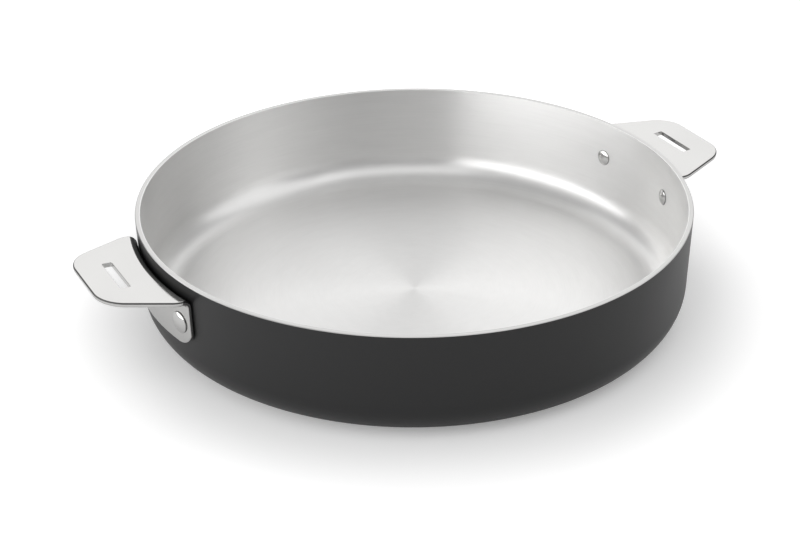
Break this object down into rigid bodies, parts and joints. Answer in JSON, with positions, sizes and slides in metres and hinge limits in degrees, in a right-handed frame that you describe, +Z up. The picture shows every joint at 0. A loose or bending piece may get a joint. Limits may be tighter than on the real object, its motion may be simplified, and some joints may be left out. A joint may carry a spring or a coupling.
{
  "type": "two-handled frying pan",
  "caption": "Low round pan with a matt black outside, a brushed steel lining and short riveted sheet steel grips, for frying, braising and serving.",
  "frame": {"origin": "middle of the underside, on the surface that the pan stands on", "axes": "+Z up, +X along the line through both grips, towards the right grip"},
  "size_m": [0.3558, 0.2854, 0.0572],
  "materials": {
    "body": "hard matt black outside, bare machined metal on the rim",
    "liner": "brushed round the axis",
    "disc": "satin, faced round the axis",
    "handle": "polished sheet with softened edges",
    "rivet": "polished dome"
  },
  "bodies": {
    "root": {"body_shell": "body", "steel_liner": "liner", "base_disc": "disc", "handle_left": "handle", "handle_right": "handle", "rivet_left_front": "rivet", "rivet_left_rear": "rivet", "rivet_right_front": "rivet", "rivet_right_rear": "rivet"}
  },
  "joints": []
}
